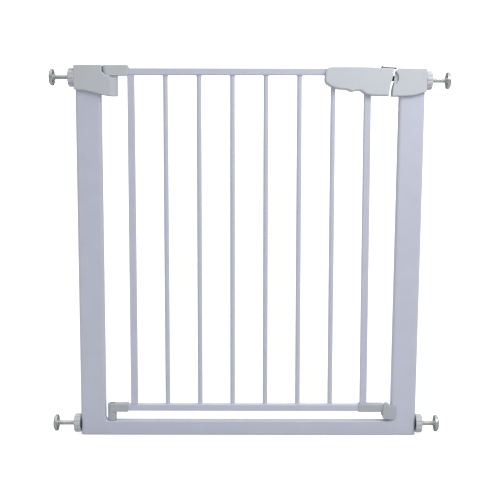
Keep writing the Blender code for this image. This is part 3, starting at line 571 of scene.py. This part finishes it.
def striker_housing():
    """Two shells round the right post's top, with the pocket that the bolt enters."""
    front = span("striker_housing_front", True)
    left, low, right, top = front.x0, front.z0, front.x1, front.z1
    depth, rim = -front.y0, 2
    pocket_low, pocket_high = (left - 1.7, -6.2, low + 29.1), (left + 19.3, depth + 4, low + 53.6)
    belly = smooth_path([(left + 18.3, low), (left + 39.3, low + 0.9), (left + 54.3, low + 3.6),
                         (right, low + 9.4)], 4)
    thumb_hollow = ellipse((left + 14.3, low + 36.9), 8.5, 12.6)
    for half, near, far, rims in (
        ("front", -depth, -SEAM / 2, (rim, SEAM_RIM)), ("rear", SEAM / 2, depth, (SEAM_RIM, rim))
    ):
        side = left if half == "front" else left + 1.5
        edge = smooth_path([(side + 15.8, top), (side + 11.7, top - 2.9), (side + 8.9, top - 7.8),
                            (side + 7.5, low + 36.6), (side + 6.9, low + 26.6), (side + 4.9, low + 20.6),
                            (side + 3.7, low + 12.6), (side + 3.5, low + 5)], 3)
        outline = [*edge, (side + 3.5, low), *belly, *arc((right - 2.6, top - 2.6), 2.6, 0, 90, 5)]
        made = prism(outline, "XZ", near, far, rims, 5)
        tools = [block(pocket_low, pocket_high, 1.5)]
        if half == "front":
            tools.append(prism(thumb_hollow, "XZ", -depth - 4, -12.5))
        for tool in tools:
            tool.data.transform(UPRIGHT)
        cut(made, *tools)
        if half == "rear":
            for place in ("upper", "lower"):
                well(made, f"striker_housing_screw_{place}", True)
        stand_for(made, f"striker_housing_{half}", True)


def keeper():
    """The cup on the right post that the door's peg stands in."""
    size = span("lower_keeper", True)
    rear_top = size.z0 + 12
    wall = 2.6
    inner = size.y1 - wall
    shape = [(size.x0 - 1.5, size.z0 - 0.5, 7), (size.x1 - 2, size.z0 - 0.5, 8)]
    shape += [(size.x1 - 2.3, size.z1 - 1.2, 5), (size.x0 + 0.8, size.z1 - 1.2, 6)]
    low_shape = [(size.x0, size.z0, 4.5), (size.x1, size.z0, 4.5), (size.x1, rear_top, 4)]
    low_shape += [(size.x0, rear_top, 4)]
    plate = span("right_post", True).x0 - 0.1
    made = prism(rounded(shape, 8), "XZ", -size.y1, -inner, (1.1, 0.3), 4)
    join(
        made,
        prism(rounded(low_shape, 8), "XZ", inner, size.y1, (0.3, 1.1), 4),
        block((plate - 2.6, -inner - 1, size.z0 + 2), (plate, inner + 1, size.z1 - 6)),
        block((size.x0 + 4, -inner - 1, size.z0), (plate - 1.6, inner + 1, size.z0 + 3)),
    )
    stand_for(made, "lower_keeper", True)


def keeper_screw():
    """A pan-head screw with a cross recess, driven into the post's inner face."""
    size = span("keeper_screw", True)
    z = centre(size)[1]
    head, arm, reach = 2, RECESS_HALF, 2
    length = size.x1 - size.x0 - head
    profile = [(0, head), (1.8, 1.9), (2.7, 1.3), (3.2, 0.4), (3.2, 0), (SHANK, 0), (SHANK, 1 - length)]
    profile += [(0, -length)]
    made = turned(profile, (size.x0 + head, 0, z), (-1, 0, 0), 32)
    outer, inner = size.x0 - 1, size.x0 + 1.2
    cut(
        made,
        block((outer, -reach, z - arm), (inner, reach, z + arm)),
        block((outer, -arm, z - reach), (inner, arm, z + reach)),
    )
    stand_for(made, "keeper_screw", True)


# ---------------------------------------------------------------- adjusters

THREAD_PITCH = 1.25
THREAD_DEPTH = 0.25
SPINDLE_STOUTER = 0.6  # added to the CAD spindle's radius
ADJUSTER_BORE = 4.95
NUT_RADIUS = 19.5
NUT_GROOVES = 12
GROOVE_DEPTH = 1.7
GROOVE_TURN = {"upper_left": 14, "lower_left": 8, "upper_right": 24, "lower_right": -6}  # degrees


def nut_profile(thick):
    """A hand nut with a skirt over the bush, a rounded rim and a raised boss."""
    bore, rim = ADJUSTER_BORE, NUT_RADIUS
    back = [(bore, 0.4), (bore + 0.4, 0), (14, 0), (14, -2.2), (rim - 1.6, -2.2), (rim - 0.6, -1.8)]
    edge = [(rim - 0.1, -1), (rim, 0), (rim, thick - 3), (rim - 0.3, thick - 1.7)]
    edge += [(rim - 1.1, thick - 0.7), (rim - 2.4, thick - 0.15), (rim - 4, thick)]
    front = [(12, thick), (11.3, thick - 0.7), (9, thick - 1.2), (7.6, thick - 1.2)]
    front += [(7.2, thick - 0.5), (6.7, thick), (bore + 0.4, thick), (bore, thick - 0.4)]
    return back + edge + front


def bush_profile(radius, length):
    """A flanged bush that runs back into the post."""
    flange, body = 2.8, 7.5
    profile = [(ADJUSTER_BORE, 0), (radius - 0.8, 0), (radius, -0.8), (radius, -flange)]
    return profile + [(body, -flange), (body, -length), (ADJUSTER_BORE, -length)]


def pad_profile(rim, thick):
    """A pressed steel pad: a boss on a dish, with a raised and rolled rim."""
    boss = [(0, 0), (4.6, 0), (5.4, 0.4), (5.8, 1.2), (6.4, 3)]
    dish = [(8, 3.8), (11, 3.5), (13.6, 2.6), (rim - 1.8, 1.5), (rim - 1, 1.2)]
    roll = [(rim - 0.3, 1.6), (rim, 2.4), (rim, thick - 0.8), (rim - 0.3, thick - 0.2)]
    face = [(rim - 0.9, thick), (rim - 2, thick), (rim - 2.3, thick - 0.6), (0, thick - 0.6)]
    return boss + dish + roll + face


def rubber_profile(radius, thick):
    """A rubber disc with three rings pressed into its face."""
    profile = [(0, -0.8), (radius, -0.8), (radius, thick - 0.8), (radius - 0.3, thick - 0.2)]
    profile += [(radius - 0.8, thick)]
    for share in (0.78, 0.54, 0.3):
        ring = radius * share
        profile += [(ring + 0.7, thick), (ring + 0.4, thick - 0.5)]
        profile += [(ring - 0.4, thick - 0.5), (ring - 0.7, thick)]
    return profile + [(0, thick)]


def adjuster(corner):
    """One corner's spindle, hand nut, bush, wall pad and rubber face."""
    leaning = corner.endswith("right")
    side = 1 if leaning else -1
    axis = (side, 0, 0)
    height = centre(span(f"tension_spindle_{corner}", leaning))[1]
    phase = math.radians(GROOVE_TURN[corner])

    def outward(node):
        """Where the piece begins, how long it is and its radius, going out from the post."""
        size = span(f"{node}_{corner}", leaning)
        start = size.x0 if side > 0 else size.x1
        return start, size.x1 - size.x0, (size.z1 - size.z0) / 2

    def show(node, start, profile, sides, closed=False, relief=None):
        made = turned(profile, (start, 0, height), axis, sides, closed, relief)
        stand_for(made, f"{node}_{corner}", leaning)

    def grooves(angle, reach):
        notch = (0.5 + 0.5 * math.cos(NUT_GROOVES * (angle + phase))) ** 7
        return GROOVE_DEPTH * notch * max(0, (reach - 13) / 6.5)

    start, length, radius = outward("tension_spindle")
    rod = threaded(
        radius + SPINDLE_STOUTER, THREAD_DEPTH, THREAD_PITCH, length, (start, 0, height), axis
    )
    stand_for(rod, f"tension_spindle_{corner}", leaning)

    nut_start, thick, _ = outward("adjuster_nut")
    show("adjuster_nut", nut_start, nut_profile(thick), 180, True, grooves)

    _, length, radius = outward("spindle_bush")
    show("spindle_bush", nut_start - side * 0.3, bush_profile(radius, length), 64, True)

    start, thick, radius = outward("wall_pad")
    show("wall_pad", start, pad_profile(radius, thick), 72)

    start, thick, radius = outward("pad_rubber")
    show("pad_rubber", start, rubber_profile(radius, thick), 72)


# ---------------------------------------------------------------- door

TUBE_CORNER = 2
WELD_FLARE = ((0.0, 1.9), (0.35, 1.2), (0.9, 0.65), (1.6, 0.28), (2.6, 0.06), (3.4, 0.0))
FOOT_FLARE, HEAD_FLARE = 0.75, 1.2  # how large the weld is at a bar's foot and at its head


def door_tubes():
    """The rails, the stiles and the round bars, which are welded in at both ends."""
    top, bottom = span("top_rail"), span("bottom_rail")
    for node, size in (("top_rail", top), ("bottom_rail", bottom)):
        section = rectangle(size.y0, size.z0, size.y1, size.z1, TUBE_CORNER, 5)
        stand_for(prism(section, "YZ", size.x0, size.x1), node)
    for node in ("hinge_stile", "latch_stile"):
        size = span(node)
        section = rectangle(size.x0, size.y0, size.x1, size.y1, TUBE_CORNER, 5)
        stand_for(prism(section, "XY", size.z0 - 0.3, size.z1 + 0.3), node)
    for node in BARS:
        size = span(node)
        radius = (size.x1 - size.x0) / 2
        foot = [(radius + FOOT_FLARE * out, bottom.z1 + FOOT_FLARE * up) for up, out in WELD_FLARE]
        head = [(radius + HEAD_FLARE * out, top.z0 - HEAD_FLARE * up) for up, out in reversed(WELD_FLARE)]
        profile = [(0, bottom.z1), *foot, *head, (0, top.z0)]
        stand_for(turned(profile, (centre(size)[0], 0, 0), (0, 0, 1), 40), node)


def stadium(half, right, corner):
    """A bar's plan that is round about the hinge line at its left end."""
    points = arc((HINGE_X, 0), half, 90, 270, 24)
    points += arc((right - corner, -half + corner), corner, -90, 0, 6)
    points += arc((right - corner, half - corner), corner, 0, 90, 6)
    return points


def pin_room(head_seat, top):
    """Cutters for a hinge pin's shank and head."""
    head_radius = 6.6
    shank = [(0, -80), (PIN_BORE, -80), (PIN_BORE, 1), (0, 1)]
    head = [(0, 0), (head_radius, 0), (head_radius, top), (0, top)]
    return [turned(profile, (HINGE_X, 0, head_seat), (0, 0, 1), 32) for profile in (shank, head)]


def rail_room(rail, left, right):
    """A cutter for the space that a rail takes inside a moulding."""
    return block((left, rail.y0 - FIT, rail.z0 - FIT), (right, rail.y1 + FIT, rail.z1 + FIT))


def hinge_arm():
    """The moulding on the door's upper corner, which turns on the upper pin."""
    size = span("hinge_arm")
    half = size.y1
    top = size.z1 + CROWN
    made = prism(stadium(half, size.x1, 2.6), "XY", size.z0 - 2, top, (0, 2.2), 5)
    sides = [(size.x0 - 3, size.z0), (size.x1 - 20, size.z0), (size.x1 + 3, size.z0 + 1.6)]
    sides += [(size.x1 + 3, top + 3), (size.x0 - 3, top + 3)]
    common(made, prism(sides, "XZ", -half - 3, half + 3))
    rail, stile = span("top_rail"), span("hinge_stile")
    cut(
        made,
        rail_room(rail, rail.x0 - FIT, size.x1 + 4),
        block((stile.x0 - 0.5, stile.y0 - 0.5, size.z0 - 4), (size.x1 + 4, stile.y1 + 0.5, rail.z0 + 1)),
        *pin_room(size.z1 - 6.9, 12),
    )
    stand_for(made, "hinge_arm")


def lower_bracket():
    """The moulding on the door's lower corner, with the leg that turns on the lower bush."""
    size = span("lower_hinge_bracket")
    half = size.y1
    seat = size.z1 - 17.5
    made = prism(stadium(half, size.x1, 2.4), "XY", seat, size.z1, (1.8, 2), 5)
    join(made, prism(ellipse((HINGE_X, 0), half, half), "XY", size.z0 - 3.6, seat + 8))
    rail = span("bottom_rail")
    room = half - 0.4  # a thin skirt hangs over the bush
    cut(
        made,
        turned([(0, -5), (room, -5), (room, 0), (0, 0)], (HINGE_X, 0, size.z0), (0, 0, 1), 48),
        rail_room(rail, rail.x0 - FIT, size.x1 + 4),
        *pin_room(size.z1 - 5, 9),
    )
    stand_for(made, "lower_hinge_bracket")


def latch_cap():
    """The sleeve on the door's other lower corner, with the peg that stands in the keeper."""
    size = span("lower_latch_cap")
    half = size.y1
    top = size.z1 - 1
    sleeve_end = size.x1 - 12.8
    made = prism(rectangle(size.x0, -half, sleeve_end, half, 2.4), "XY", size.z0, top, (1.6, 2), 5)
    peg = prism(
        rectangle(size.x1 - 12.4, size.z0, size.x1 + 0.2, size.z1, 5.6, 8), "XZ", -8, 8, (1.4, 1.4), 4
    )
    join(made, block((sleeve_end - 4, -5, size.z0 + 1), (size.x1 - 8, 5, top - 4.9), 1), peg)
    rail, stile = span("bottom_rail"), span("latch_stile")
    cut(
        made,
        rail_room(rail, size.x0 - 4, rail.x1 + FIT),
        block((stile.x0 - 0.5, stile.y0 - 0.5, rail.z1 - 1), (stile.x1 + 0.5, stile.y1 + 0.5, top + 4)),
    )
    stand_for(made, "lower_latch_cap")


def hinge_pins():
    head_radius, radius = 6.2, 4
    for node, head in (("upper_hinge_pin", 3.8), ("lower_hinge_pin", 3.2)):
        size = span(node)
        low, top, seat = size.z0, size.z1, size.z1 - head
        profile = [(0, top - 0.8), (1.6, top - 0.8), (2.2, top), (5, top), (head_radius, top - 1)]
        profile += [(head_radius, seat), (radius, seat), (radius, low + 1), (3, low), (0, low)]
        stand_for(turned(profile, (HINGE_X, 0, 0), (0, 0, 1), 48), node)


# ---------------------------------------------------------------- handle and latch

def handle_outline(size):
    """Anticlockwise from the lower right: up the latch side, back along the top, then the grip."""
    latch_side = [(131.5, 0)]
    latch_side += smooth_path([(132, 8), (132.6, 13), (134.3, 22.9), (138.1, 36.8), (140.6, 53.8)], 3)
    top = smooth_path([(140.6, 53.8), (115.9, 55.2), (95.9, 56.7), (50.9, 57.4), (12.5, 57.1)], 4)
    grip = smooth_path([(12.5, 57.1), (6.8, 55), (3.4, 48), (1.5, 34), (3.4, 26.5), (8.9, 21.5),
                        (24.2, 14.8), (36.4, 13), (44.4, 12.7), (49.9, 10.8), (56.4, 8.4),
                        (66.9, 10.5), (74.9, 10), (79.4, 7), (84.4, 3.6), (92.9, 1.4), (104, 0.3)], 4)
    points = [*latch_side, *top[1:], *grip[1:]]
    return [(size.x0 + u, size.z0 + v) for u, v in points]


def handle():
    """Two shells over the door's upper corner, hollow round its tubes, the bolt and the slide."""
    size = span("handle_front")
    depth, rim = -size.y0, 2.6
    outline = handle_outline(size)
    rail, stile, bar = span("top_rail"), span("latch_stile"), span(BARS[-1])
    bolt, button = span("latch_bolt"), span("slide_button")
    bar_hole = [(0, -9), (5.3, -9), (5.3, 41), (0, 41)]
    for half, near, far, rims in (
        ("front", -depth, -SEAM / 2, (rim, SEAM_RIM)), ("rear", SEAM / 2, depth, (SEAM_RIM, rim))
    ):
        made = prism(outline, "XZ", near, far, rims, 6)
        cut(
            made,
            rail_room(rail, size.x0 - 9, rail.x1 + FIT),
            block((stile.x0 - FIT, stile.y0 - FIT, size.z0 - 9), (stile.x1 + FIT, stile.y1 + FIT, rail.z0)),
            turned(bar_hole, (centre(bar)[0], 0, size.z0), (0, 0, 1), 40),
            block((stile.x1 + FIT, -7.2, bolt.z0 - 1), (bolt.x1 + 4, 7.2, bolt.z1 + 1)),
            block((button.x0 - 6.1, -2.6, bolt.z1), (button.x1 - 14.8, 2.6, size.z1 + 9)),
        )
        if half == "rear":
            for number in (1, 2, 3):
                well(made, f"handle_screw_{number}")
        stand_for(made, f"handle_{half}")


def latch_bolt():
    size = span("latch_bolt")
    middle, half = centre(size)[1], 5.4
    nose = rounded([(size.x0, middle - half, 0), (size.x1, middle - half, 1.4),
                    (size.x1, middle + half, 1.4), (size.x0, middle + half, 0)])
    made = prism(nose, "XZ", -5, 5, (0.8, 0.8), 3)
    join(made, block((size.x0, size.y0, size.z0), (size.x0 + 10, size.y1, size.z1)))
    stand_for(made, "latch_bolt")


def slide_button():
    """The sliding plate on the handle's top, with a hooked end, ridges and a web down to the bolt."""
    size = span("slide_button")
    slope = JOINTS["latch_slide"]["axis"]
    fall = 0.8 * slope[2] / -slope[0]
    start = size.z1 - 3.4
    left, right = size.x0, size.x1

    def along(x, above):
        return (x, start - (x - left) * fall + above)

    plate = [along(left, 0), along(right - 0.6, 0), along(right, 0.6), along(right, 2)]
    plate += [along(right - 0.6, 2.7), along(left + 5.5, 2.7)]
    plate += smooth_path([along(left + 5, 2.7), along(left + 3.6, 3.2), along(left + 2.6, 4.2),
                          along(left + 1.2, 4.4), along(left, 3.6)], 3)
    made = prism(plate, "XZ", size.y0, size.y1, (0.5, 0.5), 2)
    web_low = span("latch_bolt").z1 + 0.3
    join(made, block((left + 4.4, -2, web_low), (left + 14.4, 2, start + 0.2)))
    ridges = [
        prism([along(x, 2.4), along(x + 0.9, 2.4), along(x + 0.9, 3), along(x, 3)], "XZ", -6.5, 6.5)
        for x in (left + 8 + 2.2 * i for i in range(5))
    ]
    join(made, *ridges)
    stand_for(made, "slide_button")


def spring():
    """A coil behind the bolt."""
    size = span("bolt_spring")
    turns, steps, wire = 7, 20, 0.5
    radius = (size.z1 - size.z0) / 2 - wire
    middle = centre(size)[1]
    curve = bpy.data.curves.new("coil", "CURVE")
    curve.dimensions = "3D"
    curve.bevel_depth = wire
    curve.bevel_resolution = 3
    curve.use_fill_caps = True
    spline = curve.splines.new("POLY")
    count = turns * steps
    spline.points.add(count)
    for i, point in enumerate(spline.points):
        angle = 2 * math.pi * i / steps
        x = size.x0 + wire + (size.x1 - size.x0 - 2 * wire) * i / count
        point.co = (x, radius * math.cos(angle), middle + radius * math.sin(angle), 1)
    source = placed("coil", curve)
    evaluated = source.evaluated_get(bpy.context.evaluated_depsgraph_get())
    mesh = bpy.data.meshes.new_from_object(evaluated)
    bpy.data.objects.remove(source, do_unlink=True)
    made = placed("coil", mesh)
    stand_for(made, "bolt_spring")
    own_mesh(made)


# ---------------------------------------------------------------- stage, light and camera

def seen_or_lit(tree, lit, seen):
    """A strength that is one value where it lights the gate and another where the camera sees it."""
    ray = tree.nodes.new("ShaderNodeLightPath")
    strength = tree.nodes.new("ShaderNodeMapRange")
    strength.inputs["To Min"].default_value = lit
    strength.inputs["To Max"].default_value = seen
    tree.links.new(ray.outputs["Is Camera Ray"], strength.inputs["Value"])
    return strength.outputs["Result"]


def floor():
    """A pale floor just below the gate. From here on, lengths are in metres."""
    mesh = bpy.data.meshes.new("floor")
    shape = bmesh.new()
    bmesh.ops.create_grid(shape, x_segments=8, y_segments=8, size=8)
    bmesh.ops.translate(shape, vec=(0, 0, -0.0006), verts=shape.verts)
    shape.to_mesh(mesh)
    shape.free()
    made = placed("floor", mesh)
    material, tree, shader = nodes_of("pale_floor")
    shade = ramp(tree, noise(tree, 3.0), (0.53, 0.53, 0.53), (0.57, 0.57, 0.57))
    tree.links.new(shade, shader.inputs["Base Color"])
    shader.inputs["Roughness"].default_value = 0.9
    shader.inputs["Emission Color"].default_value = (1, 1, 1, 1)
    tree.links.new(seen_or_lit(tree, 0.03, 0.75), shader.inputs["Emission Strength"])
    mesh.materials.append(material)


def key_light():
    """A soft disc of light from above and to the right of the camera."""
    location, target = Vector((0.70, -0.75, 1.30)), Vector((0.35, 0, 0.68))
    data = bpy.data.lights.new("key", "AREA")
    data.shape = "DISK"
    data.size = 0.6
    data.energy = 5.6
    made = placed("key", data)
    made.location = location
    made.rotation_euler = (target - location).to_track_quat("-Z", "Y").to_euler()


def sky():
    """Surroundings that run from dim below to bright above."""
    world = bpy.data.worlds.new("studio")
    bpy.context.scene.world = world
    world.use_nodes = True
    tree = world.node_tree
    background = tree.nodes["Background"]
    where = tree.nodes.new("ShaderNodeTexCoord")
    parts = tree.nodes.new("ShaderNodeSeparateXYZ")
    tree.links.new(where.outputs["Generated"], parts.inputs["Vector"])
    shade = ramp(tree, parts.outputs["Z"], (0.17, 0.17, 0.17), (1.0, 1.0, 1.0))
    shade.node.color_ramp.elements[0].position = 0.0
    shade.node.color_ramp.elements[1].position = 1.0
    tree.links.new(shade, background.inputs["Color"])
    tree.links.new(seen_or_lit(tree, 1.3, 8.0), background.inputs["Strength"])


def camera():
    """A camera in front of the gate, looking slightly down at it."""
    place = (0.0035, -1.8639, 0.5869)
    looks_down, leans = math.radians(5.946), 0.0015437
    data = bpy.data.cameras.new("camera")
    data.sensor_width = 36
    data.lens = 64.8
    made = placed("camera", data)
    pitch = Matrix.Rotation(math.radians(90) - looks_down, 4, "X")
    roll = Matrix.Rotation(leans, 4, "Z")
    made.matrix_world = Matrix.Translation(place) @ pitch @ roll
    bpy.context.scene.camera = made


# ---------------------------------------------------------------- assembly

camera()
posts()
threshold()
hinge_housing()
sockets()
striker_housing()
keeper()
keeper_screw()
for corner_name in CORNERS:
    adjuster(corner_name)
door_tubes()
hinge_arm()
lower_bracket()
latch_cap()
hinge_pins()
handle()
latch_bolt()
slide_button()
spring()
for screw_name in ("hinge_housing_screw_upper", "hinge_housing_screw_lower",
                   "handle_screw_1", "handle_screw_2", "handle_screw_3"):
    screw(screw_name)
for screw_name in ("striker_housing_screw_upper", "striker_housing_screw_lower"):
    screw(screw_name, True)
floor()
sky()
key_light()
bpy.context.scene.view_settings.view_transform = "Standard"
